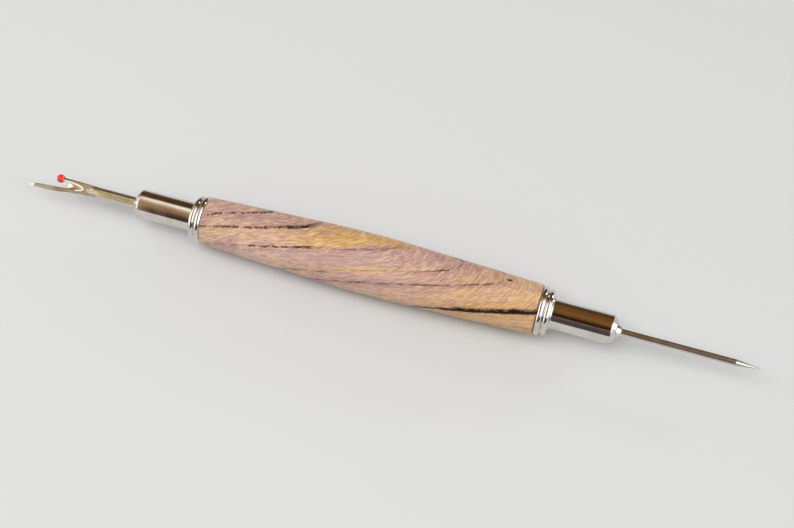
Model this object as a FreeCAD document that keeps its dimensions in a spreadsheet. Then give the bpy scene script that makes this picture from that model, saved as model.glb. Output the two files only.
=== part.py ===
import FreeCAD, Part
import math
import os

import Sketcher

# A double-ended sewing tool: a turned wooden handle with a seam ripper at one end and a
# stiletto at the other. Each tip sits in a chromed holder that pulls out of the handle,
# turns in it, and goes back in either way round.
#
# Millimetres. X runs along the tool: the ripper points to -X and the stiletto to +X.
# Z is up. The origin lies under the middle of the whole length, on the surface that the
# belly of the handle rests on.

DRIVING_SIZES = {
    # handle
    "barrel_length": 87.0,
    "belly_radius": 7.7,
    "belly_curve_radius": 300.0,
    "ripper_end_radius": 6.1,
    "stiletto_end_radius": 6.35,
    "barrel_edge_radius": 0.5,
    "tube_outer_radius": 4.75,
    "tube_wall": 0.4,
    "glue_film": 0.05,
    "tube_middle_gap": 0.3,
    # coupler
    "sleeve_wall": 0.5,
    "first_bead_radius": 6.25,
    "second_bead_radius": 5.85,
    "bead_width": 1.55,
    "bead_height": 0.55,
    "bead_notch": 0.1,
    "lip_width": 0.4,
    "lip_radius": 4.35,
    "mouth_chamfer": 0.15,
    "stop_land": 1.0,
    "stop_radius": 3.3,
    # rubber ring in the coupler
    "ring_section_radius": 0.5,
    "ring_setback": 1.3,
    "ring_grip_gap": 0.03,
    "ring_room": 0.1,
    # holder of a tip
    "holder_radius": 3.75,
    "holder_reach": 15.7,
    "holder_depth": 12.0,
    "holder_chamfer": 1.1,
    "sliding_gap": 0.05,
    "socket_radius": 1.5,
    "socket_depth": 12.0,
    "socket_end_gap": 0.2,
    "fixing_gap": 0.025,
    # stiletto
    "stiletto_reach": 35.1,
    "pin_radius": 0.875,
    "point_length": 6.1,
    "point_radius": 0.1,
    "nose_length": 1.3,
    "nose_root_radius": 1.9,
    "nose_tip_radius": 1.15,
    "nose_rim": 0.15,
    # seam ripper, seen square to the flat of its fork
    "ripper_reach": 30.2,
    "ripper_offset": 0.35,
    "ripper_roll": 24.0,
    "shank_round_end": 10.3,
    "shank_nose_length": 4.7,
    "shank_nose_drop": 1.175,
    "fork_half_thickness": 0.55,
    "fork_root_half_width": 1.36,
    "crotch_from_tip": 10.4,
    "crotch_half_gap": 0.93,
    "crotch_curve_radius": 1.0,
    "crotch_offset": 0.18,
    "short_prong_width": 0.8,
    "short_prong_overrun": 0.45,
    "heel_from_tip": 10.7,
    "heel_drop": 2.02,
    "heel_curve_radius": 50.0,
    "bow_curve_radius": 51.0,
    "prong_tip_drop": 2.26,
    "prong_tip_width": 0.3,
    "prong_nose_radius": 0.18,
    "prong_shoulder_from_tip": 3.7,
    "prong_shoulder_drop": 1.58,
    "prong_shoulder_curve_radius": 9.0,
    "thinning_from_tip": 7.0,
    "tip_half_thickness": 0.16,
    "thinning_clearance": 1.0,
    "scoop_length": 4.47,
    "scoop_half_width": 1.0,
    "scoop_floor_half_thickness": 0.24,
    "scoop_lift": 0.5,
    "honing_length": 1.75,
    "honing_half_width": 0.95,
    "edge_half_thickness": 0.06,
    "honing_lift": 0.3,
    "dimple_from_tip": 17.0,
    "dimple_radius": 1.1,
    "dimple_depth": 0.3,
    # ball on the short prong
    "ball_radius": 1.125,
    "ball_from_tip": 7.95,
    "ball_rise": 1.1,
    "ball_slot_gap": 0.02,
}

SHEET = "Sizes"
TURN = 360.0


class Size:
    """A size held two ways: its value now, and the text that works it out from the sheet."""

    def __init__(self, value, text):
        self.value = float(value)
        self.text = text

    @staticmethod
    def of(thing):
        return thing if isinstance(thing, Size) else Size(thing, repr(float(thing)))

    def __add__(self, other):
        other = Size.of(other)
        return Size(self.value + other.value, f"({self.text} + {other.text})")

    def __sub__(self, other):
        other = Size.of(other)
        return Size(self.value - other.value, f"({self.text} - {other.text})")

    def __mul__(self, other):
        other = Size.of(other)
        return Size(self.value * other.value, f"({self.text} * {other.text})")

    def __truediv__(self, other):
        other = Size.of(other)
        return Size(self.value / other.value, f"({self.text} / {other.text})")

    def __neg__(self):
        return Size(-self.value, f"(-1 * {self.text})")


def root(size):
    """Square root of a Size."""
    return Size(math.sqrt(size.value), f"sqrt({size.text})")


def make_sheet(doc):
    """Write the driving sizes into the spreadsheet and return them by name."""
    sheet = doc.addObject("Spreadsheet::Sheet", SHEET)
    sizes = {}
    for row, (name, value) in enumerate(DRIVING_SIZES.items(), start=1):
        sheet.set(f"A{row}", name)
        sheet.set(f"B{row}", str(value))
        sheet.setAlias(f"B{row}", name)
        sizes[name] = Size(value, f"{SHEET}.{name}")
    doc.recompute()
    return sizes


def bind(target, path, size):
    """Tie one property of an object to the sheet."""
    target.setExpression(path, size.text)


def on_tool_axis(target, s):
    """Place an object on the tool's axis, at the middle of the handle."""
    bind(target, "Placement.Base.x", s["handle_middle"])
    bind(target, "Placement.Base.z", s["belly_radius"])


def origin_plane(body, role):
    """One of a body's own origin planes."""
    return next(f for f in body.Origin.OriginFeatures if f.Role == role)


def arc_between(start, end, radius, side):
    """Arc from start to end; side +1 bulges to the left of the way from start to end."""
    (x0, y0), (x1, y1) = start, end
    chord = math.hypot(x1 - x0, y1 - y0)
    left = (-(y1 - y0) / chord, (x1 - x0) / chord)
    back = math.sqrt(radius**2 - (chord / 2) ** 2)
    centre = ((x0 + x1) / 2 - side * left[0] * back, (y0 + y1) / 2 - side * left[1] * back)
    angles = [math.atan2(y - centre[1], x - centre[0]) for x, y in (start, end)]
    if side > 0:
        angles.reverse()
    circle = Part.Circle(FreeCAD.Vector(centre[0], centre[1], 0), FreeCAD.Vector(0, 0, 1), radius)
    return Part.ArcOfCircle(circle, angles[0], angles[1])


def outline(sketch, steps):
    """Closed outline through corners. A step is (x, y), or (x, y, radius, side) where the
    edge that leaves the corner is an arc. Every corner and radius is tied to the sheet."""
    corners = [(step[0].value, step[1].value) for step in steps]
    ends = []
    for number, step in enumerate(steps):
        start, end = corners[number], corners[(number + 1) % len(steps)]
        if len(step) == 2:
            edge = Part.LineSegment(FreeCAD.Vector(*start, 0), FreeCAD.Vector(*end, 0))
            ends.append((1, 2))
        else:
            edge = arc_between(start, end, step[2].value, step[3])
            ends.append((2, 1) if step[3] > 0 else (1, 2))
        sketch.addGeometry(edge, False)
    first = sketch.GeometryCount - len(steps)
    for number, step in enumerate(steps):
        here = first + number
        following = first + (number + 1) % len(steps)
        leave, arrive = ends[number]
        next_leave = ends[(number + 1) % len(steps)][0]
        sketch.addConstraint(Sketcher.Constraint("Coincident", here, arrive, following, next_leave))
        tie(sketch, "DistanceX", (-1, 1, here, leave), step[0])
        tie(sketch, "DistanceY", (-1, 1, here, leave), step[1])
        if len(step) > 2:
            tie(sketch, "Radius", (here,), step[2])


def tie(sketch, kind, geometry, size):
    """Add one dimension to a sketch and tie it to the sheet."""
    index = sketch.addConstraint(Sketcher.Constraint(kind, *geometry, size.value))
    bind(sketch, f"Constraints[{index}]", size)


def new_sketch(body, name, role):
    """An empty sketch on one of the body's own origin planes."""
    sketch = body.newObject("Sketcher::SketchObject", name)
    sketch.AttachmentSupport = [(origin_plane(body, role), "")]
    sketch.MapMode = "FlatFace"
    return sketch


def new_body(doc, s, label):
    """An empty body on the tool's axis."""
    body = doc.addObject("PartDesign::Body", label)
    body.Label = label
    on_tool_axis(body, s)
    return body


def revolve(body, name, steps):
    """Turn an outline of (along the axis, radius) corners about the tool's axis."""
    sketch = new_sketch(body, name + "_outline", "XZ_Plane")
    outline(sketch, steps)
    solid = body.newObject("PartDesign::Revolution", name)
    solid.Profile = sketch
    solid.ReferenceAxis = (sketch, ["H_Axis"])
    solid.Angle = TURN
    return solid


def toward(side, start, steps):
    """Outline corners given outward from a start on one end of the tool. On the ripper's
    side (-1) the outline is mirrored, so its arcs bulge the other way."""
    turned = []
    for along, radius, *curve in steps:
        corner = [start + along if side > 0 else -(start + along), radius]
        if curve:
            corner += [curve[0], curve[1] * side]
        turned.append(tuple(corner))
    return turned


def add_derived_sizes(s):
    """Places and fits worked out from the driving sizes."""
    nothing = Size(0, "0")
    s["nothing"] = nothing
    s["half_barrel"] = s["barrel_length"] / 2
    s["bead_span"] = s["bead_width"] + s["bead_notch"]
    s["head_width"] = s["bead_span"] + s["bead_width"] + s["lip_width"]
    s["holder_face"] = s["half_barrel"] + s["head_width"] + s["holder_reach"]
    s["ripper_tip"] = s["holder_face"] + s["ripper_reach"]
    s["stiletto_tip"] = s["holder_face"] + s["stiletto_reach"]
    s["handle_middle"] = (s["ripper_tip"] - s["stiletto_tip"]) / 2
    s["holder_inner_end"] = s["head_width"] - s["holder_depth"]
    s["tube_inner_radius"] = s["tube_outer_radius"] - s["tube_wall"]
    s["coupler_bore"] = s["holder_radius"] + s["sliding_gap"]
    s["sleeve_radius"] = s["coupler_bore"] + s["sleeve_wall"]
    s["shank_radius"] = s["socket_radius"] - s["fixing_gap"]
    s["bead_curve_radius"] = (s["bead_width"] * s["bead_width"] / 4 + s["bead_height"] * s["bead_height"]) / (
        s["bead_height"] * 2
    )
    s["ring_radius"] = s["holder_radius"] + s["ring_grip_gap"] + s["ring_section_radius"]
    s["ring_groove_radius"] = s["ring_radius"] + s["ring_section_radius"] + s["ring_room"] / 2
    s["ring_groove_half_width"] = s["ring_section_radius"] + s["ring_room"]


def wood_barrel(doc, s):
    """Turned handle: two straight tapers blended by a wide curve at the belly, drilled through."""
    body = new_body(doc, s, "wood_barrel")
    sketch = new_sketch(body, "barrel_outline", "XZ_Plane")
    half, bore = s["half_barrel"], s["tube_outer_radius"] + s["glue_film"]
    curve, belly = s["belly_curve_radius"], s["belly_radius"]
    ends = {-1: s["ripper_end_radius"], 1: s["stiletto_end_radius"]}
    touch = {}
    for side, end_radius in ends.items():
        # the taper from the end's rim touches the belly's circle: centre (0, belly - curve)
        rise = end_radius - belly + curve
        reach = half * half + rise * rise
        lead = root(reach - curve * curve)
        along = (half * curve * curve - rise * curve * lead) / reach
        up = (rise * curve * curve + half * curve * lead) / reach
        touch[side] = (along if side > 0 else -along, belly - curve + up)
    outline(
        sketch,
        [
            (-half, bore),
            (-half, ends[-1]),
            (*touch[-1], curve, 1),
            touch[1],
            (half, ends[1]),
            (half, bore),
        ],
    )
    solid = body.newObject("PartDesign::Revolution", "turned_barrel")
    solid.Profile = sketch
    solid.ReferenceAxis = (sketch, ["H_Axis"])
    solid.Angle = TURN
    doc.recompute()
    rims = [
        f"Edge{number}"
        for number, edge in enumerate(solid.Shape.Edges, start=1)
        if is_rim(edge, half.value, (ends[-1].value, ends[1].value))
    ]
    rounding = body.newObject("PartDesign::Fillet", "rounded_rims")
    rounding.Base = (solid, rims)
    bind(rounding, "Radius", s["barrel_edge_radius"])
    return body


def is_rim(edge, along, radii):
    """Whether an edge is a full circle at a body's end with one of the given radii."""
    curve = edge.Curve
    if not isinstance(curve, Part.Circle) or abs(abs(curve.Center.x) - along) > 1e-6:
        return False
    return any(abs(curve.Radius - radius) < 1e-6 for radius in radii)


def brass_tube(doc, s, label, side):
    """Tube glued in one half of the handle."""
    body = new_body(doc, s, label)
    inner, outer = s["tube_inner_radius"], s["tube_outer_radius"]
    middle = s["tube_middle_gap"] / 2 - s["half_barrel"]
    steps = [(middle, inner), (middle, outer), (s["nothing"], outer), (s["nothing"], inner)]
    revolve(body, label + "_wall", toward(side, s["half_barrel"], steps))
    return body


def coupler(doc, s, label, side):
    """Double-bead ring with a sleeve in the tube. The bore has a groove for the rubber ring
    and ends in a coned stop that the holder's chamfer seats in."""
    body = new_body(doc, s, label)
    head, bore = s["head_width"], s["coupler_bore"]
    stop = s["stop_radius"]
    seat = s["holder_inner_end"] + s["holder_chamfer"]
    stop_start = seat - (bore - stop)
    inner_end = s["holder_inner_end"] - s["stop_land"]
    first_base = s["first_bead_radius"] - s["bead_height"]
    second_base = s["second_bead_radius"] - s["bead_height"]
    groove_in = s["ring_setback"] - s["ring_groove_half_width"]
    groove_out = s["ring_setback"] + s["ring_groove_half_width"]
    chamfer, curve = s["mouth_chamfer"], s["bead_curve_radius"]
    second_end = s["bead_span"] + s["bead_width"]
    steps = [
        (inner_end, stop),
        (inner_end, s["sleeve_radius"]),
        (s["nothing"], s["sleeve_radius"]),
        (s["nothing"], first_base, curve, 1),
        (s["bead_width"], first_base),
        (s["bead_span"], second_base, curve, 1),
        (second_end, second_base),
        (second_end, s["lip_radius"]),
        (head - chamfer, s["lip_radius"]),
        (head, s["lip_radius"] - chamfer),
        (head, bore + chamfer),
        (head - chamfer, bore),
        (groove_out, bore),
        (groove_out, s["ring_groove_radius"]),
        (groove_in, s["ring_groove_radius"]),
        (groove_in, bore),
        (seat, bore),
        (stop_start, stop),
    ]
    revolve(body, label + "_turning", toward(side, s["half_barrel"], steps))
    return body


def rubber_ring(doc, s, label, side):
    """Ring that sits in the coupler's groove and grips the holder."""
    ring = doc.addObject("Part::Torus", label)
    ring.Label = label
    ring.Placement = FreeCAD.Placement(
        FreeCAD.Vector(0, 0, 0), FreeCAD.Rotation(FreeCAD.Vector(0, 1, 0), TURN / 4)
    )
    bind(ring, "Radius1", s["ring_radius"])
    bind(ring, "Radius2", s["ring_section_radius"])
    out = s["half_barrel"] + s["ring_setback"]
    bind(ring, "Placement.Base.x", s["handle_middle"] + (out if side > 0 else -out))
    bind(ring, "Placement.Base.z", s["belly_radius"])
    return ring


def holder(doc, s, label, side):
    """Smooth cylinder with the same chamfer at both ends, still without its socket."""
    body = new_body(doc, s, label)
    length = s["holder_reach"] + s["holder_depth"]
    radius, chamfer = s["holder_radius"], s["holder_chamfer"]
    steps = [
        (-length, s["nothing"]),
        (-length, radius - chamfer),
        (chamfer - length, radius),
        (-chamfer, radius),
        (s["nothing"], radius - chamfer),
        (s["nothing"], s["nothing"]),
    ]
    revolve(body, label + "_turning", toward(side, s["holder_face"], steps))
    return body


def drill_socket(body, s, side, offset):
    """Blind socket for the tip, drilled beside the holder's axis by an offset."""
    sketch = new_sketch(body, body.Label + "_socket_circle", "YZ_Plane")
    sketch.addGeometry(
        Part.Circle(FreeCAD.Vector(-offset.value, 0, 0), FreeCAD.Vector(0, 0, 1), s["socket_radius"].value)
    )
    tie(sketch, "Radius", (0,), s["socket_radius"])
    tie(sketch, "DistanceX", (-1, 1, 0, 3), -offset)
    tie(sketch, "DistanceY", (-1, 1, 0, 3), s["nothing"])
    face = s["holder_face"]
    bind(sketch, "AttachmentOffset.Base.z", face if side > 0 else -face)
    socket = body.newObject("PartDesign::Pocket", body.Label + "_socket")
    socket.Profile = sketch
    socket.Reversed = side < 0
    bind(socket, "Length", s["socket_depth"])


def stiletto_holder(doc, s):
    """Holder with its socket on its own axis."""
    body = holder(doc, s, "stiletto_holder", 1)
    drill_socket(body, s, 1, s["nothing"])
    return body


def ripper_holder(doc, s):
    """Holder with its socket beside its axis, rolled with the blade."""
    body = holder(doc, s, "ripper_holder", -1)
    drill_socket(body, s, -1, s["ripper_offset"])
    body.Placement.Rotation = FreeCAD.Rotation(FreeCAD.Vector(1, 0, 0), s["ripper_roll"].value)
    body.setExpression("Placement.Rotation.Angle", rolled(s))
    return body


def stiletto_bush(doc, s):
    """Reducer that carries the thin pin in the holder's socket, with a tapered nose."""
    body = new_body(doc, s, "stiletto_bush")
    bore = s["pin_radius"] + s["fixing_gap"]
    inner_end = s["socket_end_gap"] - s["socket_depth"]
    steps = [
        (inner_end, bore),
        (inner_end, s["shank_radius"]),
        (s["nothing"], s["shank_radius"]),
        (s["nothing"], s["nose_root_radius"]),
        (s["nose_rim"], s["nose_root_radius"]),
        (s["nose_length"], s["nose_tip_radius"]),
        (s["nose_length"], bore),
    ]
    revolve(body, "bush_turning", toward(1, s["holder_face"], steps))
    return body


def stiletto_pin(doc, s):
    """Straight ground pin with a long point."""
    body = new_body(doc, s, "stiletto_pin")
    radius, reach = s["pin_radius"], s["stiletto_reach"]
    inner_end = s["socket_end_gap"] - s["socket_depth"]
    steps = [
        (inner_end, s["nothing"]),
        (inner_end, radius),
        (reach - s["point_length"], radius),
        (reach - s["point_radius"], s["point_radius"]),
        (reach, s["nothing"]),
    ]
    revolve(body, "pin_grinding", toward(1, s["holder_face"], steps))
    return body


def out_of_ripper_face(s, distance):
    """Place along X of a point of the ripper, given outward from its holder's face."""
    return -(s["holder_face"] + distance)


def from_ripper_tip(s, distance):
    """Place along X of a point of the ripper, given back from its tip."""
    return out_of_ripper_face(s, s["ripper_reach"] - distance)


def rolled(s):
    """The ripper's roll about the tool's axis, as an angle."""
    return s["ripper_roll"].text + " * 1 deg"


def on_ripper_axis(body, s):
    """Place a ripper piece: rolled with the fork, and set off toward the long prong, which
    is the body's own -Y side."""
    body.Placement.Rotation = FreeCAD.Rotation(FreeCAD.Vector(1, 0, 0), s["ripper_roll"].value)
    offset, up = s["ripper_offset"].text, s["belly_radius"].text
    bind(body, "Placement.Base.x", s["handle_middle"])
    body.setExpression("Placement.Rotation.Angle", rolled(s))
    body.setExpression("Placement.Base.y", f"-{offset} * cos({rolled(s)})")
    body.setExpression("Placement.Base.z", f"{up} - {offset} * sin({rolled(s)})")


def fork_plate(body, s):
    """Flat fork seen square on: short prong on +Y, long bowed prong on -Y, open toward -X."""
    sketch = new_sketch(body, "fork_outline", "XY_Plane")
    root_x = out_of_ripper_face(s, s["shank_round_end"])
    curve, gap = s["crotch_curve_radius"], s["crotch_half_gap"]
    crotch_depth = curve - root(curve * curve - gap * gap)
    crotch_x = from_ripper_tip(s, s["crotch_from_tip"] - crotch_depth)
    crotch_high = gap - s["crotch_offset"]
    crotch_low = -(gap + s["crotch_offset"])
    prong_end = from_ripper_tip(s, s["ball_from_tip"] - s["short_prong_overrun"])
    prong_top = s["ball_rise"] + s["short_prong_width"] / 2
    prong_low = s["ball_rise"] - s["short_prong_width"] / 2
    nose, half_tip = s["prong_nose_radius"], s["prong_tip_width"] / 2
    tip_x = from_ripper_tip(s, nose - root(nose * nose - half_tip * half_tip))
    steps = [
        (root_x, s["fork_root_half_width"]),
        (crotch_x, prong_top),
        (prong_end, prong_top),
        (prong_end, prong_low),
        (crotch_x, crotch_high, curve, 1),
        (crotch_x, crotch_low),
        (
            from_ripper_tip(s, s["prong_shoulder_from_tip"]),
            -s["prong_shoulder_drop"],
            s["prong_shoulder_curve_radius"],
            -1,
        ),
        (tip_x, -s["prong_tip_drop"], nose, -1),
        (tip_x, -(s["prong_tip_drop"] + s["prong_tip_width"]), s["bow_curve_radius"], -1),
        (from_ripper_tip(s, s["heel_from_tip"]), -s["heel_drop"], s["heel_curve_radius"], 1),
        (root_x, -s["fork_root_half_width"]),
    ]
    outline(sketch, steps)
    plate = body.newObject("PartDesign::Pad", "fork_plate")
    plate.Profile = sketch
    plate.Midplane = True
    bind(plate, "Length", s["fork_half_thickness"] * 2)
    return plate


def thin_long_prong(body, s):
    """Grind both faces of the long prong down toward its tip."""
    sketch = new_sketch(body, "thinning_outline", "XZ_Plane")
    start = from_ripper_tip(s, s["thinning_from_tip"])
    end = from_ripper_tip(s, -s["thinning_clearance"])
    thick, thin = s["fork_half_thickness"], s["tip_half_thickness"]
    clear = thick + s["thinning_clearance"]
    for side in (1, -1):
        flip = [(x, z if side > 0 else -z) for x, z in ((start, thick), (start, clear), (end, clear), (end, thin))]
        outline(sketch, flip)
    cut = body.newObject("PartDesign::Pocket", "prong_thinning")
    cut.Profile = sketch
    cut.Type = "ThroughAll"
    cut.Midplane = True
    return cut


def hollow_grind(body, s, name, length, half_width, floor, lift):
    """Grind a hollow behind the crotch into both faces, down to a floor above the middle of
    the plate. Length and half width are those of its rim, and lift is how far above the
    plate's face the grinding form is centred."""
    down = s["fork_half_thickness"] + lift - floor
    shrink = root(Size(1, "1") - (lift / down) * (lift / down))
    height = s["fork_half_thickness"] + lift
    for side, face in ((1, "upper_"), (-1, "lower_")):
        hollow = body.newObject("PartDesign::SubtractiveEllipsoid", face + name)
        hollow.AttachmentSupport = [(origin_plane(body, "XY_Plane"), "")]
        hollow.MapMode = "FlatFace"
        hollow.AttachmentOffset = FreeCAD.Placement(
            FreeCAD.Vector(0, 0, 0), FreeCAD.Rotation(FreeCAD.Vector(1, 0, 0), 0 if side > 0 else TURN / 2)
        )
        bind(hollow, "Radius1", down)
        bind(hollow, "Radius2", length / shrink)
        bind(hollow, "Radius3", half_width / shrink)
        bind(hollow, "AttachmentOffset.Base.x", from_ripper_tip(s, s["crotch_from_tip"]))
        bind(hollow, "AttachmentOffset.Base.y", -s["crotch_offset"])
        bind(hollow, "AttachmentOffset.Base.z", height if side > 0 else -height)


def scoop_and_edge(body, s):
    """Long shallow scoop behind the crotch, and the short deeper hollow that leaves its
    curved cutting edge."""
    hollow_grind(
        body, s, "scoop", s["scoop_length"], s["scoop_half_width"], s["scoop_floor_half_thickness"], s["scoop_lift"]
    )
    hollow_grind(
        body, s, "honing", s["honing_length"], s["honing_half_width"], s["edge_half_thickness"], s["honing_lift"]
    )


def ripper_shank(body, s):
    """Round shank whose end sinks into the flat of the fork."""
    inner_end = out_of_ripper_face(s, s["socket_end_gap"] - s["socket_depth"])
    round_end = out_of_ripper_face(s, s["shank_round_end"])
    nose_end = out_of_ripper_face(s, s["shank_round_end"] + s["shank_nose_length"])
    radius, drop, length = s["shank_radius"], s["shank_nose_drop"], s["shank_nose_length"]
    curve = (length * length + drop * drop) / (drop * 2)
    steps = [
        (inner_end, s["nothing"]),
        (inner_end, radius),
        (round_end, radius, curve, -1),
        (nose_end, radius - drop),
        (nose_end, s["nothing"]),
    ]
    return revolve(body, "shank", steps)


def stamped_dimple(body, s):
    """Small round mark on the upper side of the shank."""
    dimple = body.newObject("PartDesign::SubtractiveSphere", "stamped_dimple")
    dimple.AttachmentSupport = [(origin_plane(body, "XY_Plane"), "")]
    dimple.MapMode = "FlatFace"
    bind(dimple, "Radius", s["dimple_radius"])
    bind(dimple, "AttachmentOffset.Base.x", from_ripper_tip(s, s["dimple_from_tip"]))
    bind(
        dimple,
        "AttachmentOffset.Base.z",
        s["shank_radius"] + s["dimple_radius"] - s["dimple_depth"] - s["shank_nose_drop"] / 3,
    )


def ripper_blade(doc, s):
    """Steel shank and fork, with the cutting edge in the crotch."""
    body = new_body(doc, s, "ripper_blade")
    fork_plate(body, s)
    thin_long_prong(body, s)
    ripper_shank(body, s)
    scoop_and_edge(body, s)
    stamped_dimple(body, s)
    on_ripper_axis(body, s)
    return body


def ripper_ball(doc, s):
    """Ball moulded on the short prong, with a slot that the prong fills."""
    body = new_body(doc, s, "ripper_ball")
    ball = body.newObject("PartDesign::AdditiveSphere", "ball")
    ball.AttachmentSupport = [(origin_plane(body, "XY_Plane"), "")]
    ball.MapMode = "FlatFace"
    # the ball's seam faces the tip, clear of the slot
    ball.AttachmentOffset = FreeCAD.Placement(
        FreeCAD.Vector(0, 0, 0), FreeCAD.Rotation(FreeCAD.Vector(0, 0, 1), TURN / 2)
    )
    bind(ball, "Radius", s["ball_radius"])
    bind(ball, "AttachmentOffset.Base.x", from_ripper_tip(s, s["ball_from_tip"]))
    bind(ball, "AttachmentOffset.Base.y", s["ball_rise"])
    gap = s["ball_slot_gap"]
    sketch = new_sketch(body, "slot_outline", "XY_Plane")
    half = s["short_prong_width"] / 2 + gap
    deep = from_ripper_tip(s, s["ball_from_tip"] - s["short_prong_overrun"] - gap)
    mouth = from_ripper_tip(s, s["ball_from_tip"] + s["ball_radius"] * 2)
    low, high = s["ball_rise"] - half, s["ball_rise"] + half
    outline(sketch, [(deep, low), (mouth, low), (mouth, high), (deep, high)])
    slot = body.newObject("PartDesign::Pocket", "prong_slot")
    slot.Profile = sketch
    slot.Midplane = True
    bind(slot, "Length", (s["fork_half_thickness"] + gap) * 2)
    on_ripper_axis(body, s)
    return body


def check(doc, pieces):
    """Stop before anything is written if a feature failed or a solid is not sound."""
    for item in doc.Objects:
        if "Invalid" in item.State or "Error" in item.State:
            raise RuntimeError(f"{item.Name} failed: {item.State}")
    for piece in pieces:
        shape = piece.Shape
        if shape.isNull() or not shape.isValid() or len(shape.Solids) != 1:
            raise RuntimeError(f"{piece.Label} is not one sound solid")
        print(f"{piece.Label}: {shape.Volume:.2f} mm3")


def main():
    doc = FreeCAD.newDocument("seam_ripper_and_stiletto")
    s = make_sheet(doc)
    add_derived_sizes(s)
    pieces = [wood_barrel(doc, s)]
    for side, end in ((-1, "ripper"), (1, "stiletto")):
        pieces.append(brass_tube(doc, s, end + "_tube", side))
        pieces.append(coupler(doc, s, end + "_coupler", side))
        pieces.append(rubber_ring(doc, s, end + "_o_ring", side))
    pieces += [stiletto_holder(doc, s), stiletto_bush(doc, s), stiletto_pin(doc, s)]
    pieces += [ripper_holder(doc, s), ripper_blade(doc, s), ripper_ball(doc, s)]
    doc.recompute()
    check(doc, pieces)
    os.makedirs("parts", exist_ok=True)
    for piece in pieces:
        piece.Shape.exportStep(os.path.join("parts", piece.Label + ".step"))


main()
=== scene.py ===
"""Looks of the double-ended seam ripper and stiletto: materials, floor, light and camera."""

import math

import bpy
from mathutils import Matrix, Vector


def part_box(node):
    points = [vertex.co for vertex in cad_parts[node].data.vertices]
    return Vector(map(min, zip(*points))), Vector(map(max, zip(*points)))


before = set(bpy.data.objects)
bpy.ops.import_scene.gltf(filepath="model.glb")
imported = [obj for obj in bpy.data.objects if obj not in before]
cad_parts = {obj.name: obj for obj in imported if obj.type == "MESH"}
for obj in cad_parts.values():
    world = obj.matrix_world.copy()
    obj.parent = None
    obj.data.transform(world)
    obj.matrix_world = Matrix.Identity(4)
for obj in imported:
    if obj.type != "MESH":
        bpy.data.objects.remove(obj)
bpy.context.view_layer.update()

MM = 0.001
AXIS_HEIGHT = 7.7  # mm, of the tool's axis over the floor
# y and z of two directions across the axis: up the side that the photograph shows, and out of it.
FACE_UP = (0.859, 0.512)
FACE_OUT = (-0.512, 0.859)


# ---------------------------------------------------------------- node helpers


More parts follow.
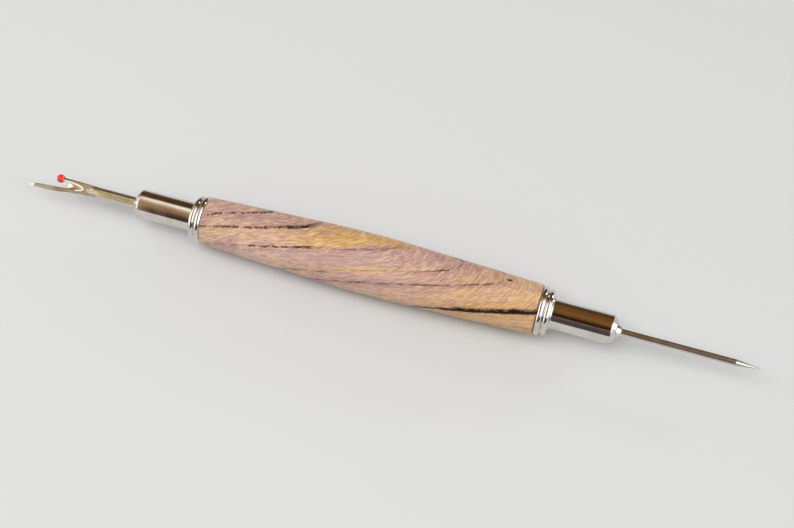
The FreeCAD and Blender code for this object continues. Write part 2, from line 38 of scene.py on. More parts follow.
class Graph:
    """A material's or world's node tree, with short calls for the nodes used here."""

    def __init__(self, owner):
        owner.use_nodes = True
        self.tree = owner.node_tree
        self.tree.nodes.clear()

    def node(self, kind, **settings):
        new = self.tree.nodes.new(kind)
        for name, value in settings.items():
            setattr(new, name, value)
        return new

    def feed(self, socket, value):
        """Link a socket to another node's output, or set it to a plain value."""
        if isinstance(value, bpy.types.NodeSocket):
            self.tree.links.new(value, socket)
        elif value is not None:
            socket.default_value = value

    def math(self, operation, a, b=None, c=None):
        new = self.node("ShaderNodeMath", operation=operation)
        for socket, value in zip(new.inputs, (a, b, c)):
            self.feed(socket, value)
        return new.outputs[0]

    def product(self, first, *others):
        total = first
        for factor in others:
            total = self.math("MULTIPLY", total, factor)
        return total

    def largest(self, first, *others):
        best = first
        for value in others:
            best = self.math("MAXIMUM", best, value)
        return best

    def weighted(self, terms, constant=0.0):
        """Sum of socket times factor, plus a constant."""
        total = constant
        for socket, factor in terms:
            total = self.math("MULTIPLY_ADD", socket, factor, total)
        return total

    def hypotenuse(self, a, b):
        return self.math("SQRT", self.math("MULTIPLY_ADD", a, a, self.product(b, b)))

    def span(self, value, low, high, start=0.0, end=1.0):
        """Map low..high onto start..end, with an eased and limited change."""
        new = self.node("ShaderNodeMapRange", interpolation_type="SMOOTHSTEP")
        for socket, number in zip(new.inputs, (value, low, high, start, end)):
            self.feed(socket, number)
        return new.outputs[0]

    def fade(self, value, low, high, start=1.0):
        """Start below low, nothing above high."""
        return self.span(value, low, high, start, 0.0)

    def band(self, value, rise, fall):
        """One between two places: it comes up over the first span and goes over the second."""
        return self.product(self.span(value, *rise), self.fade(value, *fall))

    def vector(self, x, y, z):
        new = self.node("ShaderNodeCombineXYZ")
        for socket, value in zip(new.inputs, (x, y, z)):
            self.feed(socket, value)
        return new.outputs[0]

    def parts(self, vector):
        """The x, y and z of a vector."""
        split = self.node("ShaderNodeSeparateXYZ")
        self.feed(split.inputs[0], vector)
        return split.outputs

    def noise(self, place, scale, detail=2.0, roughness=0.5):
        new = self.node("ShaderNodeTexNoise")
        self.feed(new.inputs["Vector"], self.vector(*place))
        new.inputs["Scale"].default_value = scale
        new.inputs["Detail"].default_value = detail
        new.inputs["Roughness"].default_value = roughness
        return new.outputs["Fac"]

    def grained(self, place, factors, detail=2.0, roughness=0.5):
        """Noise with its grains drawn out along the directions that have small factors."""
        scaled = [self.product(part, factor) for part, factor in zip(place, factors)]
        return self.noise(scaled, 1.0, detail, roughness)

    def mix(self, factor, a, b):
        """The colour a, turned into the colour b by the factor."""
        new = self.node("ShaderNodeMix", data_type="RGBA")
        self.feed(new.inputs["Factor"], factor)
        self.feed(new.inputs[6], a)
        self.feed(new.inputs[7], b)
        return new.outputs[2]

    def ramp(self, value, length, stops):
        """The colour at a value, from stops that lie between zero and the length."""
        new = self.node("ShaderNodeValToRGB")
        elements = new.color_ramp.elements
        while len(elements) < len(stops):
            elements.new(0.5)
        for element, (place, shade) in zip(elements, stops):
            element.position = place / length
            element.color = shade
        self.feed(new.inputs[0], self.math("DIVIDE", value, length))
        return new.outputs[0]

    def bump(self, height, distance, strength, normal=None):
        new = self.node("ShaderNodeBump")
        self.feed(new.inputs["Height"], height)
        self.feed(new.inputs["Normal"], normal)
        new.inputs["Distance"].default_value = distance
        new.inputs["Strength"].default_value = strength
        return new.outputs[0]

    def soft_edges(self, radius):
        """The surface's direction with its sharp edges rounded off."""
        new = self.node("ShaderNodeBevel", samples=6)
        self.feed(new.inputs["Radius"], radius)
        return new.outputs[0]

    def place_mm(self):
        """The point's place on the part, in millimetres, as x, y and z."""
        scaled = self.node("ShaderNodeVectorMath", operation="SCALE")
        self.feed(scaled.inputs[0], self.node("ShaderNodeTexCoord").outputs["Object"])
        scaled.inputs["Scale"].default_value = 1.0 / MM
        return self.parts(scaled.outputs[0])

    def off_axis(self, y, z, direction, start=0.0):
        """Distance from the tool's axis in a direction across it, plus a start."""
        return self.weighted(((y, direction[0]), (z, direction[1])), start - direction[1] * AXIS_HEIGHT)


def linear(value):
    """Linear light of one 8-bit display value."""
    share = value / 255
    if value > 10:
        return ((share + 0.055) / 1.055) ** 2.4
    return share / 12.92


def color(red, green, blue):
    """Linear colour of 8-bit display values."""
    return (linear(red), linear(green), linear(blue), 1.0)


def new_material(name):
    material = bpy.data.materials.new(name)
    graph = Graph(material)
    shader = graph.node("ShaderNodeBsdfPrincipled")
    output = graph.node("ShaderNodeOutputMaterial")
    graph.feed(output.inputs["Surface"], shader.outputs[0])
    return material, graph, shader.inputs


# ------------------------------------------------------------------------ wood

# How the growth layers lie: the cosine and sine of their slant to the tool's axis, and at the
# middle of the part the place along the grain and the place across the layers, in millimetres.
GRAIN_SLANT = (0.966, 0.259)
ALONG_AT_MIDDLE = 86.15
ACROSS_AT_MIDDLE = 20.46
GRAIN_FACE = 6.5  # mm out from the axis, where the places across the layers hold as given
# How far the layers move across for each millimetre below that face. It grows along the grain.
CUP_AT_START = -0.402
CUP_PER_MM = 0.0092
CUP_LEAST = 0.12
# The layers' waver: the fineness of each noise, and the millimetres over which it moves them.
WAVERS = ((0.035, 1.4), (0.16, 0.6))

# Shades of the growth layers, given across them in millimetres, for three places along
# the grain: the ripper's end, the middle and the stiletto's end of the handle.
LAYERS_AT_RIPPER = (
    (6.0, color(194, 156, 138)),
    (8.5, color(184, 148, 140)),
    (10.8, color(200, 160, 132)),
    (13.3, color(216, 180, 150)),
    (15.7, color(196, 160, 152)),
    (17.4, color(212, 178, 164)),
    (20.5, color(210, 178, 156)),
    (23.0, color(208, 172, 142)),
    (32.0, color(196, 160, 136)),
)
LAYERS_AT_MIDDLE = (
    (7.5, color(180, 144, 130)),
    (9.8, color(184, 148, 116)),
    (11.8, color(200, 158, 98)),
    (14.6, color(214, 168, 86)),
    (15.7, color(202, 162, 116)),
    (16.6, color(192, 158, 146)),
    (19.8, color(196, 160, 148)),
    (21.4, color(212, 172, 132)),
    (23.0, color(202, 164, 150)),
    (25.0, color(186, 150, 138)),
    (27.2, color(212, 174, 150)),
    (31.0, color(208, 170, 138)),
    (40.0, color(194, 154, 128)),
)
LAYERS_AT_STILETTO = (
    (8.0, color(178, 140, 122)),
    (17.0, color(182, 144, 130)),
    (19.5, color(180, 144, 136)),
    (22.5, color(188, 150, 126)),
    (24.8, color(196, 154, 118)),
    (26.8, color(208, 168, 128)),
    (29.0, color(220, 176, 124)),
    (31.0, color(208, 158, 102)),
    (33.2, color(204, 163, 108)),
    (35.5, color(216, 176, 122)),
    (42.0, color(200, 160, 114)),
)
LAYER_SPAN = 44.0  # mm, over which the layers' shades are given
RIPPER_TO_MIDDLE = (56.0, 78.0)  # mm along the grain, where one set of layers turns into the next
MIDDLE_TO_STILETTO = (92.0, 110.0)
# The middle's gold layer slants across by so many millimetres, over this stretch along the
# grain, and the slant dies out over these places across.
GOLD_SLANT = 1.5
GOLD_SLANTS_ALONG = (82.0, 96.0)
GOLD_SLANT_ENDS = (17.5, 21.5)

# Rows of dark pores: where along the grain each row starts and how far across the layers it
# lies there, the same for its end, its half width, how dark it is, and how far it is broken
# into dashes.
PORE_ROWS = (
    (38.0, 7.8, 60.0, 7.2, 0.22, 0.80, 1.0),
    (36.0, 10.4, 54.0, 10.9, 0.20, 0.85, 1.0),
    (53.0, 10.9, 64.0, 10.7, 0.22, 0.90, 0.8),
    (63.5, 10.7, 71.5, 10.7, 0.28, 0.96, 0.3),
    (36.0, 14.7, 52.0, 15.2, 0.15, 0.40, 1.0),
    (53.0, 15.2, 66.0, 15.6, 0.16, 0.85, 1.0),
    (65.5, 15.6, 71.0, 15.6, 0.24, 0.94, 0.3),
    (70.0, 15.6, 92.0, 16.9, 0.12, 0.50, 1.0),
    (58.0, 21.4, 74.0, 21.8, 0.16, 0.60, 0.8),
    (76.0, 21.4, 98.0, 21.8, 0.12, 0.30, 1.0),
    (98.0, 21.7, 108.0, 21.6, 0.10, 0.80, 1.0),
    (62.0, 24.5, 85.0, 24.8, 0.20, 0.70, 0.7),
    (86.0, 25.0, 104.0, 24.9, 0.14, 0.65, 1.0),
    (103.0, 24.9, 117.5, 25.3, 0.12, 0.70, 1.0),
    (94.5, 32.7, 102.0, 32.2, 0.24, 0.95, 0.0),
    (101.0, 32.2, 145.0, 31.7, 0.38, 1.00, 0.0),
    (105.0, 31.8, 145.0, 31.5, 0.56, 1.00, 0.3),
    (40.0, 37.5, 145.0, 37.5, 0.15, 0.50, 1.0),
    (20.0, 1.5, 145.0, 1.5, 0.20, 0.80, 1.0),
    (20.0, -4.0, 145.0, -4.0, 0.20, 0.75, 1.0),
)
ROW_END = 1.5  # mm, half the stretch over which a row fades in and out
ROW_SIDES = (0.6, 2.0)  # shares of a row's half width, between which its sides fade
ROW_RAGGEDNESS = 0.7  # mm
# Soft shadows beside some of those rows: place across the layers, width, and how dark.
PORE_SHADOWS = ((8.4, 0.7, 0.35), (16.6, 0.6, 0.15), (25.4, 0.8, 0.35), (22.2, 0.5, 0.25))

# The small dark knot: its place on the part, the distances in millimetres over which it fades,
# how dark it is, and how much shorter its distances count along the handle.
KNOT_PLACE = (32.8, 2.2, 13.9)
KNOT_SIDES = (0.22, 0.65)
KNOT_DARKNESS = 0.95
KNOT_STRETCH = 0.7

CURL_STEEPENS_AT = 84.0  # mm along the grain, from where the curly strokes grow steeper
CURL_STEEPENING = 0.008

MAUVE = color(174, 137, 134)
HONEY = color(220, 178, 128)
SHADOW_MAUVE = color(150, 112, 114)
CURL_DARK = color(146, 100, 84)
CURL_PALE = color(242, 208, 170)
STREAK_MAUVE = color(164, 126, 132)
FIBRE_BROWN = color(148, 104, 96)
FLECK_BROWN = color(120, 78, 62)
PORE_BLACK = color(24, 10, 3)


def grain_place(graph):
    """The point's place along the grain, across the growth layers and outward, in
    millimetres, with the slow waver that real layers have."""
    x, y, z = graph.place_mm()
    cosine, sine = GRAIN_SLANT
    down = graph.off_axis(y, z, (-FACE_UP[0], -FACE_UP[1]))
    out = graph.off_axis(y, z, FACE_OUT)
    along = graph.weighted(((x, cosine), (down, -sine)), ALONG_AT_MIDDLE)
    flat = graph.weighted(((down, cosine), (x, sine)), ACROSS_AT_MIDDLE)
    cup = graph.largest(graph.weighted(((along, CUP_PER_MM),), CUP_AT_START), CUP_LEAST)
    across = graph.math("MULTIPLY_ADD", graph.math("SUBTRACT", GRAIN_FACE, out), cup, flat)
    noises = [(graph.noise((along, across, out), scale, detail=1.0), reach) for scale, reach in WAVERS]
    waver = graph.weighted(noises, -sum(reach for scale, reach in WAVERS) / 2)
    return along, graph.math("ADD", across, waver), out


def layer_shades(graph, place):
    """The wood's own colour, blended along the grain between the three sets of layers."""
    along, across = place[:2]
    slant = graph.span(along, *GOLD_SLANTS_ALONG, 0.0, GOLD_SLANT)
    slant = graph.product(slant, graph.fade(across, *GOLD_SLANT_ENDS))
    ripper = graph.ramp(across, LAYER_SPAN, LAYERS_AT_RIPPER)
    middle = graph.ramp(graph.math("SUBTRACT", across, slant), LAYER_SPAN, LAYERS_AT_MIDDLE)
    stiletto = graph.ramp(across, LAYER_SPAN, LAYERS_AT_STILETTO)
    shade = graph.mix(graph.span(along, *RIPPER_TO_MIDDLE), ripper, middle)
    return graph.mix(graph.span(along, *MIDDLE_TO_STILETTO), shade, stiletto)


def pore_row(graph, along, across, broken, row):
    """How much of one row of dark pores shows at a point."""
    start, first, end, last, half_width, depth, dashed = row
    drift = (last - first) / (end - start)
    away = graph.weighted(((across, 1.0), (along, -drift)), drift * start - first)
    core, rim = (half_width * side for side in ROW_SIDES)
    shape = graph.fade(graph.math("ABSOLUTE", away), core, rim, depth)
    reach = graph.band(along, (start - ROW_END, start + ROW_END), (end - ROW_END, end + ROW_END))
    left = graph.math("MULTIPLY_ADD", broken, dashed, 1.0 - dashed)
    return graph.product(reach, shape, left)


def pores(graph, place):
    """Rows of short dark pores: ragged, broken into dashes of about a millimetre."""
    along, across = place[:2]
    ragged = graph.grained(place, (1.1, 0.5, 0.5), roughness=0.7)
    shift = graph.math("MULTIPLY_ADD", ragged, ROW_RAGGEDNESS, -ROW_RAGGEDNESS / 2)
    shaken = graph.math("ADD", across, shift)
    dashes = graph.grained(place, (0.60, 0.25, 0.25), roughness=0.7)
    broken = graph.span(dashes, 0.42, 0.54, 0.15, 1.0)
    return graph.largest(*(pore_row(graph, along, shaken, broken, row) for row in PORE_ROWS))


def knot(graph):
    """The small dark knot, a little longer along the handle."""
    offsets = zip(graph.place_mm(), KNOT_PLACE)
    x, y, z = (graph.math("SUBTRACT", part, centre) for part, centre in offsets)
    away = graph.hypotenuse(graph.product(x, KNOT_STRETCH), graph.hypotenuse(y, z))
    return graph.fade(away, *KNOT_SIDES, KNOT_DARKNESS)


def curly_ripple(graph, place):
    """Short strokes under half a millimetre apart that cross the grain at a slant, which
    grows steeper toward the stiletto and wanders from place to place."""
    along, across, out = place
    bend = graph.noise(place, 0.10, detail=1.0)
    past = graph.largest(graph.math("SUBTRACT", along, CURL_STEEPENS_AT), 0.0)
    steep = graph.product(past, past, CURL_STEEPENING)
    crossing = graph.weighted(((bend, 4.0), (along, 0.14), (across, 1.0)), steep)
    return graph.grained((along, crossing, out), (0.45, 2.5, 0.4), roughness=0.6)


def weak_curl(graph, place):
    """One where the curl is weak: the lower layers of the ripper's half, and past the widest
    row of pores."""
    along, across = place[:2]
    low = graph.product(graph.span(across, 16.0, 18.0), graph.fade(along, 82.0, 94.0))
    return graph.largest(low, graph.span(across, 31.5, 33.5))


def blotched(graph, place, base):
    """Broad patches of mauve and honey, and the shadows beside some rows of pores."""
    blotch = graph.grained(place, (0.10, 0.45, 0.45), detail=3.0)
    base = graph.mix(graph.span(blotch, 0.50, 0.70, 0.0, 0.40), base, MAUVE)
    base = graph.mix(graph.fade(blotch, 0.32, 0.48, 0.35), base, HONEY)
    for centre, width, depth in PORE_SHADOWS:
        away = graph.math("ABSOLUTE", graph.math("SUBTRACT", place[1], centre))
        shadow = graph.product(graph.fade(away, 0.0, width, depth), graph.span(blotch, 0.35, 0.6))
        base = graph.mix(shadow, base, SHADOW_MAUVE)
    return base


def curled(graph, base, curl, weak):
    """Dark and pale sides of the curly strokes."""
    strength = graph.math("MULTIPLY_ADD", weak, -0.5, 1.0)
    darker = graph.product(graph.span(curl, 0.50, 0.66, 0.0, 0.46), strength)
    paler = graph.product(graph.fade(curl, 0.34, 0.50, 0.40), strength)
    return graph.mix(paler, graph.mix(darker, base, CURL_DARK), CURL_PALE)


def lined(graph, place, base, fibre, weak):
    """Long mauve streaks, fibres and small flecks."""
    streaks = graph.grained(place, (0.09, 1.5, 1.5))
    streak_depth = graph.math("MULTIPLY_ADD", weak, 0.15, 0.38)
    base = graph.mix(graph.product(graph.span(streaks, 0.50, 0.64), streak_depth), base, STREAK_MAUVE)
    base = graph.mix(graph.span(fibre, 0.50, 0.72, 0.0, 0.45), base, FIBRE_BROWN)
    flecks = graph.grained(place, (1.6, 4.5, 4.5), detail=1.0)
    return graph.mix(graph.span(flecks, 0.62, 0.74, 0.0, 0.40), base, FLECK_BROWN)


def wood():
    """Figured hardwood under a satin finish: slanting growth layers from pinkish tan to
    gold and mauve, rows of dark pores, fine curly ripple and fibres."""
    material, graph, shader = new_material("wood")
    place = grain_place(graph)
    curl = curly_ripple(graph, place)
    weak = weak_curl(graph, place)
    fibre = graph.grained(place, (0.22, 3.2, 3.2), detail=3.0, roughness=0.65)
    dark = graph.largest(pores(graph, place), knot(graph))

    base = blotched(graph, place, layer_shades(graph, place))
    base = curled(graph, base, curl, weak)
    base = lined(graph, place, base, fibre, weak)
    graph.feed(shader["Base Color"], graph.mix(dark, base, PORE_BLACK))
    graph.feed(shader["Roughness"], graph.weighted(((curl, 0.16), (dark, 0.25)), 0.36))
    shader["Specular IOR Level"].default_value = 0.25
    shader["Coat Weight"].default_value = 0.06
    shader["Coat Roughness"].default_value = 0.28
    relief = graph.weighted(((fibre, -0.30), (dark, -0.9), (curl, -0.30)))
    graph.feed(shader["Normal"], graph.bump(relief, 0.05 * MM, 0.7))
    return material


# ---------------------------------------------------------------------- metals

METAL_EDGE = 0.35  # mm, over which the light turns at the edges of the metal pieces
RIPPER_FACE_EDGE = 0.8  # mm, the same at the ripper holder's outer face

# The fork: its roll about the tool's axis, how far its middle lies off the axis, and where the
# crotch lies behind the tip and across the fork. The scoop reaches back and sideways from there.
FORK_ROLL = math.radians(24.0)
FORK_OFFSET = 0.35
CROTCH_BEHIND_TIP = 10.4
CROTCH_ACROSS = -0.18
SCOOP_LENGTH = 4.47
SCOOP_HALF_WIDTH = 1.0
DIMPLE_BEHIND_TIP = 17.0
# Where the marks on the fork lie, in millimetres behind its tip or to its side. Each pair is
# the stretch over which a mark comes or goes.
POINT_GOES = (1.0, 1.6)
TOP_EDGE_COMES = (7.0, 7.4)
TOP_EDGE_SIDE = (1.10, 1.35)
SCOOP_COMES = (8.0, 8.4)
SCOOP_GOES = (15.2, 15.6)
LONG_PRONG_GOES = (8.5, 12.0)
CROTCH_COMES = (9.4, 9.8)
CROTCH_GOES = (11.8, 12.4)
CROTCH_EDGE = (0.22, 0.32)  # mm over the fork's middle plane
RIM_EDGE = (0.06, 0.25)  # mm from the middle of the scoop's rim
RIM_INSET = 0.06  # mm, by which the middle of the rim lies inside the scoop's outline
# The painted highlight on the rim stops at one side of the crotch, which faces away from the light:
# where that ends across the fork, and how much further across for each millimetre behind the crotch.
RIM_COMES = (-0.13, 0.17)
RIM_SLANT = -0.35
SCOOP_FLOOR_EDGE = (-0.40, -0.20)  # mm from the scoop's outline
DIMMED_PATCH_EDGE = (1.8, 2.8)  # mm from the middle of the rougher, dimmed patch
DIMMED_PATCH_BEFORE_DIMPLE = 0.3
# The painted highlight in a ring around the dimple: factors on the distances along and across the fork
# and on its slant, where it ends in those distances, and how white it is.
DIMPLE_RING_ALONG = 2.2
DIMPLE_RING_ACROSS = 1.2
DIMPLE_RING_SLANT = 0.9
DIMPLE_RING_EDGE = (0.5, 1.1)
DIMPLE_HIGHLIGHT_WHITENESS = 0.45

# Tints on the fork: a greyer long prong, a painted rosy reflection, a straw tint that dims the
# reflection, painted shade along the top edge, and painted white highlights.
LONG_PRONG_GREY = color(180, 175, 166)
SCOOP_ROSE_REFLECTION = color(188, 156, 144)
DIMMING_STRAW = color(178, 158, 122)
TOP_EDGE_SHADE_BROWN = color(116, 98, 82)
PAINTED_HIGHLIGHT_WHITE = color(248, 243, 228)


def turned_finish(graph, shader, shades, roughness, scratch, edge=METAL_EDGE * MM):
    """Metal turned on a lathe and polished: a little haze, faint rings across the axis and
    fine marks along it. Gives its colour and roughness back, for marks that go on top."""
    x, y, z = graph.place_mm()
    haze = graph.noise((x, y, z), 0.35, detail=3.0)
    rings = graph.noise((graph.product(x, 9.0), 0.0, 0.0), 1.0, detail=3.0, roughness=0.7)
    marks = graph.grained((x, y, z), (0.7, 6.0, 6.0), detail=4.0, roughness=0.7)
    base = graph.mix(graph.span(haze, 0.35, 0.65), *shades)
    rough = graph.weighted(((haze, 0.05), (rings, 0.05), (marks, scratch)), roughness - 0.05)
    relief = graph.weighted(((rings, 0.6), (marks, 0.4)))
    graph.feed(shader["Base Color"], base)
    graph.feed(shader["Roughness"], rough)
    shader["Metallic"].default_value = 1.0
    graph.feed(shader["Normal"], graph.bump(relief, 0.002 * MM, 0.5, normal=graph.soft_edges(edge)))
    return base, rough


def chrome():
    """Polished chrome plate, with a wider soft edge at the ripper holder's outer face."""
    material, graph, shader = new_material("chrome")
    outer_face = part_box("ripper_holder")[0][0] / MM
    x = graph.place_mm()[0]
    edge = graph.span(x, outer_face + 1.5, outer_face + 2.5, RIPPER_FACE_EDGE * MM, METAL_EDGE * MM)
    turned_finish(graph, shader, (color(214, 208, 200), color(226, 221, 214)), 0.07, 0.04, edge)
    return material


def pin_steel():
    """Ground and polished steel of the stiletto."""
    material, graph, shader = new_material("pin_steel")
    turned_finish(graph, shader, (color(206, 200, 188), color(218, 212, 200)), 0.18, 0.10)
    return material


def brass():
    """Drawn brass of the two hidden tubes."""
    material, graph, shader = new_material("brass_tube")
    turned_finish(graph, shader, (color(196, 156, 78), color(214, 176, 100)), 0.24, 0.12)
    return material


def fork_place(graph):
    """The point's place behind the fork's tip, to the fork's side and over its flat, in
    millimetres."""
    x, y, z = graph.place_mm()
    cosine = math.cos(FORK_ROLL)
    sine = math.sin(FORK_ROLL)
    behind = graph.math("SUBTRACT", x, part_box("ripper_blade")[0][0] / MM)
    side = graph.off_axis(y, z, (cosine, sine), FORK_OFFSET)
    over = graph.off_axis(y, z, (-sine, cosine))
    return behind, side, over


def outside_scoop(graph, past, beside):
    """Distance from the scoop's outline, below zero inside it."""
    past_share = graph.product(past, 1 / SCOOP_LENGTH)
    beside_share = graph.product(beside, 1 / SCOOP_HALF_WIDTH)
    reach = graph.hypotenuse(past_share, beside_share)
    past_slope = graph.product(past_share, 1 / SCOOP_LENGTH)
    beside_slope = graph.product(beside_share, 1 / SCOOP_HALF_WIDTH)
    slope = graph.hypotenuse(past_slope, beside_slope)
    excess = graph.math("MULTIPLY_ADD", reach, reach, -1.0)
    return graph.math("DIVIDE", excess, graph.math("MULTIPLY_ADD", slope, 2.0, 0.01))


def dimple_highlight_ring(graph, behind, side):
    """A painted highlight in a ring around the dimple, drawn out at a slant."""
    middle = DIMPLE_RING_ALONG * DIMPLE_BEHIND_TIP
    slanted = graph.weighted(((behind, DIMPLE_RING_ALONG), (side, DIMPLE_RING_SLANT)), -middle)
    away = graph.hypotenuse(slanted, graph.product(side, DIMPLE_RING_ACROSS))
    return graph.fade(away, *DIMPLE_RING_EDGE, DIMPLE_HIGHLIGHT_WHITENESS)


def ripper_steel():
    """Nickelled steel with painted light fixed to the fork, so it looks alike from every side: painted
    white highlights on the scoop's rim, in the crotch, at the tip and in a ring around the dimple, a
    painted rosy reflection on the scoop's floor, painted shade along the top edge, a rougher patch
    whose straw tint dims its reflection, and a greyer long prong."""
    material, graph, shader = new_material("ripper_steel")
    shades = (color(206, 198, 180), color(220, 212, 194))
    base, rough = turned_finish(graph, shader, shades, 0.20, 0.10)
    behind, side, over = fork_place(graph)
    past = graph.largest(graph.math("SUBTRACT", behind, CROTCH_BEHIND_TIP), 0.0)
    beside = graph.math("SUBTRACT", side, CROTCH_ACROSS)
    outside = outside_scoop(graph, past, beside)
    on_scoop = graph.band(behind, SCOOP_COMES, SCOOP_GOES)

    from_rim = graph.math("ABSOLUTE", graph.math("ADD", outside, RIM_INSET))
    # The lit side of the rim, where its painted highlight shows.
    rim_lit_side = graph.span(graph.weighted(((beside, 1.0), (past, -RIM_SLANT))), *RIM_COMES)
    rim = graph.product(graph.fade(from_rim, *RIM_EDGE), rim_lit_side, on_scoop)
    crotch = graph.fade(graph.math("ABSOLUTE", over), *CROTCH_EDGE)
    crotch = graph.product(crotch, graph.band(behind, CROTCH_COMES, CROTCH_GOES))
    point = graph.fade(behind, *POINT_GOES)
    # Painted highlights: near-white steel on the scoop's rim, in the crotch, at the tip and around the
    # dimple.
    painted_highlight = graph.largest(rim, crotch, point, dimple_highlight_ring(graph, behind, side))

    long_prong = graph.fade(behind, *LONG_PRONG_GOES)
    # Painted reflection: a rosy tint on the scoop's floor.
    scoop_floor_reflection = graph.product(graph.fade(outside, *SCOOP_FLOOR_EDGE), on_scoop)
    # A rougher patch before the dimple. Its straw tint is painted shade that dims the reflection there.
    dimmed_patch_middle = DIMPLE_BEHIND_TIP - DIMMED_PATCH_BEFORE_DIMPLE
    from_dimmed_patch = graph.hypotenuse(graph.math("SUBTRACT", behind, dimmed_patch_middle), side)
    dimmed_patch = graph.fade(from_dimmed_patch, *DIMMED_PATCH_EDGE)
    # Painted shade: dark brown along the fork's top edge.
    top_edge_shade = graph.product(graph.span(side, *TOP_EDGE_SIDE), graph.span(behind, *TOP_EDGE_COMES))
    # Each mark, how strongly it covers the steel, and its tint. All but the greyer long prong are
    # painted light.
    marks = (
        (long_prong, 0.65, LONG_PRONG_GREY),
        (scoop_floor_reflection, 1.0, SCOOP_ROSE_REFLECTION),
        (dimmed_patch, 0.6, DIMMING_STRAW),
        (top_edge_shade, 0.8, TOP_EDGE_SHADE_BROWN),
        (painted_highlight, 1.0, PAINTED_HIGHLIGHT_WHITE),
    )
    for mark, cover, tint in marks:
        base = graph.mix(graph.product(mark, cover), base, tint)
    graph.feed(shader["Base Color"], base)
    # Where the highlights are painted, the steel is made mostly not metallic, so the painted white
    # shows.
    graph.feed(shader["Metallic"], graph.math("MULTIPLY_ADD", painted_highlight, -0.85, 1.0))
    graph.feed(shader["Roughness"], graph.weighted(((dimmed_patch, 0.22), (painted_highlight, 0.15), (rough, 1.0))))
    return material


# ---------------------------------------------------------- plastic and rubber


def red_plastic():
    """Glossy red ball, a little cloudy, with a soft moulded surface."""
    material, graph, shader = new_material("red_ball")
    cloud = graph.noise(graph.place_mm(), 0.9, detail=3.0)
    base = graph.mix(graph.span(cloud, 0.3, 0.7), color(218, 22, 10), color(242, 40, 22))
    graph.feed(shader["Base Color"], base)
    graph.feed(shader["Roughness"], graph.span(cloud, 0.3, 0.7, 0.16, 0.26))
    shader["Coat Weight"].default_value = 0.7
    shader["Coat Roughness"].default_value = 0.10
    graph.feed(shader["Normal"], graph.bump(cloud, 0.03 * MM, 0.3))
    return material


def rubber():
    """Black rubber of the hidden friction rings, dull with fine grain."""
    material, graph, shader = new_material("rubber_ring")
    grain = graph.noise(graph.place_mm(), 6.0, detail=3.0)
    base = graph.mix(graph.span(grain, 0.35, 0.65), color(24, 24, 25), color(40, 39, 38))
    graph.feed(shader["Base Color"], base)
    graph.feed(shader["Roughness"], graph.span(grain, 0.3, 0.7, 0.55, 0.75))
    graph.feed(shader["Normal"], graph.bump(grain, 0.02 * MM, 0.4))
    return material


def dress():
    """Give each node of the part the finish of its slot."""
    finishes = {
        wood(): ("wood_barrel",),
        chrome(): (
            "ripper_coupler",
            "stiletto_coupler",
            "ripper_holder",
            "stiletto_holder",
            "stiletto_bush",
        ),
        ripper_steel(): ("ripper_blade",),
        pin_steel(): ("stiletto_pin",),
        brass(): ("ripper_tube", "stiletto_tube"),
        red_plastic(): ("ripper_ball",),
        rubber(): ("ripper_o_ring", "stiletto_o_ring"),
    }
    for material, nodes in finishes.items():
        for name in nodes:
            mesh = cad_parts[name].data
            mesh.materials.clear()
            mesh.materials.append(material)


# ----------------------------------------------------------------------- stage

FLOOR_REACH = 3.0  # m, from the middle to each side
FLOOR_DROP = 0.0001  # m, by which the floor lies below the tool

# What polished metal sees of the room, by the angle from the front horizon over the top to
# the back one: far out on the ripper's side, toward that side, and everywhere else. A shade
# without color() is brighter than white.
HALF_TURN = 180.0
ROOM_FAR_LEFT = (
    (0.0, color(255, 238, 202)),
    (25.0, color(255, 238, 202)),
    (37.0, (1.25, 1.07, 0.74, 1.0)),
    (52.0, color(250, 230, 192)),
    (68.0, color(203, 181, 143)),
    (93.0, color(178, 157, 113)),
    (118.0, color(150, 131, 90)),
    (146.0, color(116, 98, 60)),
    (165.0, color(96, 78, 52)),
    (180.0, color(112, 104, 96)),
)
ROOM_LEFT = (
    (0.0, color(56, 38, 28)),
    (30.0, color(70, 48, 34)),
    (43.0, color(124, 90, 70)),
    (60.0, color(164, 124, 100)),
    (76.0, color(180, 144, 116)),
    (90.0, color(222, 206, 184)),
    (98.0, (1.20, 1.17, 1.02, 1.0)),
    (110.0, (1.14, 1.09, 0.92, 1.0)),
    (118.0, color(150, 128, 96)),
    (125.0, color(84, 56, 32)),
    (150.0, color(76, 50, 30)),
    (180.0, color(112, 104, 96)),
)
ROOM_RIGHT = (
    (0.0, color(78, 72, 80)),
    (30.0, color(80, 74, 78)),
    (40.0, color(122, 104, 84)),
    (48.0, color(56, 36, 20)),
    (60.0, color(40, 22, 8)),
    (68.0, color(98, 66, 32)),
    (90.0, color(138, 98, 50)),
    (105.0, color(124, 84, 42)),
    (135.0, color(116, 80, 44)),
    (152.0, color(72, 50, 32)),
    (180.0, color(112, 104, 96)),
)
# The spans over which the far left turns into the left, and the left into the right, in the
# sideways part of the direction looked in.
FAR_LEFT_TO_LEFT = (-0.388, -0.374)
LEFT_TO_RIGHT = (-0.30, -0.08)
# The windows: how far sideways each begins, and the angles between which it shows.
LEFT_WINDOW_SIDE = (-0.66, -0.57)
LEFT_WINDOW_TOP = (100.0, 120.0)
RIGHT_WINDOW_SIDE = (0.22, 0.34)
RIGHT_WINDOW_FOOT = (22.0, 36.0)
RIGHT_WINDOW_TOP = (104.0, 124.0)
END_WINDOW_SIDE = (0.80, 0.90)
WINDOW_LIGHT = (1.95, 2.0, 2.15, 1.0)
PLAIN_LIGHT = color(188, 188, 188)
BACKDROP = color(236, 236, 235)

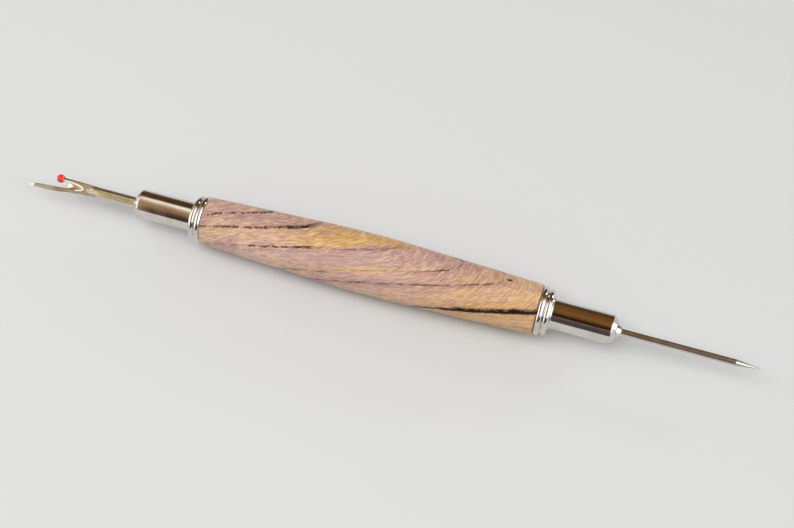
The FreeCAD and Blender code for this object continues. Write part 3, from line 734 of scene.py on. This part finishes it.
# Area lamps: place and size in metres, power in watts, and whether polished metal shows them.
LAMPS = {
    "key": ((-0.15, -0.30, 0.80), (0.7, 0.5), 4.0, False),
    "side_left": ((-0.9, -0.1, 0.6), (0.35, 0.35), 2.0, False),
    "side_right": ((0.9, -0.1, 0.6), (0.35, 0.35), 2.0, False),
    "glint": ((0.56, 0.76, 0.32), (0.11, 0.11), 1.0, True),
}

CAMERA_AZIMUTH = math.radians(17.5)  # to the right of the front
CAMERA_ELEVATION = math.radians(58.0)
CAMERA_DISTANCE = 293.7  # mm
CAMERA_LENS = 53.41  # mm
CAMERA_SENSOR = 36.0  # mm
# The aim, in millimetres from the middle of the tool's axis: along it, and up the side shown.
AIM_ALONG = 4.4
AIM_UP_FACE = 1.85


def floor():
    """Plain pale floor under the tool."""
    corners = [(x * FLOOR_REACH, y * FLOOR_REACH, 0.0) for x, y in ((-1, -1), (1, -1), (1, 1), (-1, 1))]
    mesh = bpy.data.meshes.new("floor")
    mesh.from_pydata(corners, [], [(0, 1, 2, 3)])
    plane = bpy.data.objects.new("floor", mesh)
    plane.location.z = -FLOOR_DROP
    bpy.context.scene.collection.objects.link(plane)
    material, _, shader = new_material("floor")
    shader["Base Color"].default_value = color(210, 210, 209)
    shader["Roughness"].default_value = 0.9
    shader["Specular IOR Level"].default_value = 0.1
    mesh.materials.append(material)


def windows(graph, x, degrees):
    """The room's bright windows: one on each side, and the far end on the stiletto's side."""
    left = graph.product(graph.fade(x, *LEFT_WINDOW_SIDE), graph.fade(degrees, *LEFT_WINDOW_TOP))
    right_height = graph.band(degrees, RIGHT_WINDOW_FOOT, RIGHT_WINDOW_TOP)
    right = graph.product(graph.span(x, *RIGHT_WINDOW_SIDE), right_height)
    return graph.largest(left, right, graph.span(x, *END_WINDOW_SIDE))


def studio():
    """Soft white light from all round for plain surfaces, and for polished metal a warm
    room with a pale strip light over it and windows at its sides."""
    world = bpy.data.worlds.new("studio")
    bpy.context.scene.world = world
    graph = Graph(world)
    x, y, z = graph.parts(graph.node("ShaderNodeTexCoord").outputs["Generated"])
    turn = graph.math("ARCTAN2", z, graph.product(y, -1.0))
    degrees = graph.product(turn, HALF_TURN / math.pi)
    left = graph.ramp(degrees, HALF_TURN, ROOM_LEFT)
    right = graph.ramp(degrees, HALF_TURN, ROOM_RIGHT)
    far_left = graph.ramp(degrees, HALF_TURN, ROOM_FAR_LEFT)
    room = graph.mix(graph.span(x, *LEFT_TO_RIGHT), left, right)
    room = graph.mix(graph.fade(x, *FAR_LEFT_TO_LEFT), room, far_left)
    room = graph.mix(windows(graph, x, degrees), room, WINDOW_LIGHT)
    paths = graph.node("ShaderNodeLightPath")
    shown = graph.mix(paths.outputs["Is Glossy Ray"], PLAIN_LIGHT, room)
    shown = graph.mix(paths.outputs["Is Camera Ray"], shown, BACKDROP)
    background = graph.node("ShaderNodeBackground")
    graph.feed(background.inputs["Color"], shown)
    background.inputs["Strength"].default_value = 1.0
    output = graph.node("ShaderNodeOutputWorld")
    graph.feed(output.inputs["Surface"], background.outputs[0])


def lights():
    """The lamps, each turned toward the middle of the part."""
    for name, (place, size, power, glossy) in LAMPS.items():
        data = bpy.data.lights.new(name, "AREA")
        data.shape = "RECTANGLE"
        data.size, data.size_y = size
        data.energy = power
        lamp = bpy.data.objects.new(name, data)
        lamp.location = place
        lamp.rotation_euler = (-Vector(place)).to_track_quat("-Z", "Y").to_euler()
        lamp.visible_glossy = glossy
        lamp.visible_camera = False
        bpy.context.scene.collection.objects.link(lamp)


def camera():
    """The photograph's view: from the front and high up, a little to the right."""
    back = Vector((
        math.sin(CAMERA_AZIMUTH) * math.cos(CAMERA_ELEVATION),
        -math.cos(CAMERA_AZIMUTH) * math.cos(CAMERA_ELEVATION),
        math.sin(CAMERA_ELEVATION),
    ))
    right = Vector((math.cos(CAMERA_AZIMUTH), math.sin(CAMERA_AZIMUTH), 0.0))
    up = back.cross(right)
    aim = Vector((AIM_ALONG, 0.0, AXIS_HEIGHT)) * MM + Vector((0.0, *FACE_UP)) * AIM_UP_FACE * MM
    data = bpy.data.cameras.new("camera")
    data.sensor_width = CAMERA_SENSOR
    data.lens = CAMERA_LENS
    data.clip_start = 0.01
    viewer = bpy.data.objects.new("camera", data)
    turned = Matrix((right, up, back)).transposed().to_4x4()
    viewer.matrix_world = Matrix.Translation(aim + back * CAMERA_DISTANCE * MM) @ turned
    bpy.context.scene.collection.objects.link(viewer)
    bpy.context.scene.camera = viewer


dress()
floor()
studio()
lights()
camera()
bpy.context.scene.view_settings.view_transform = "Standard"
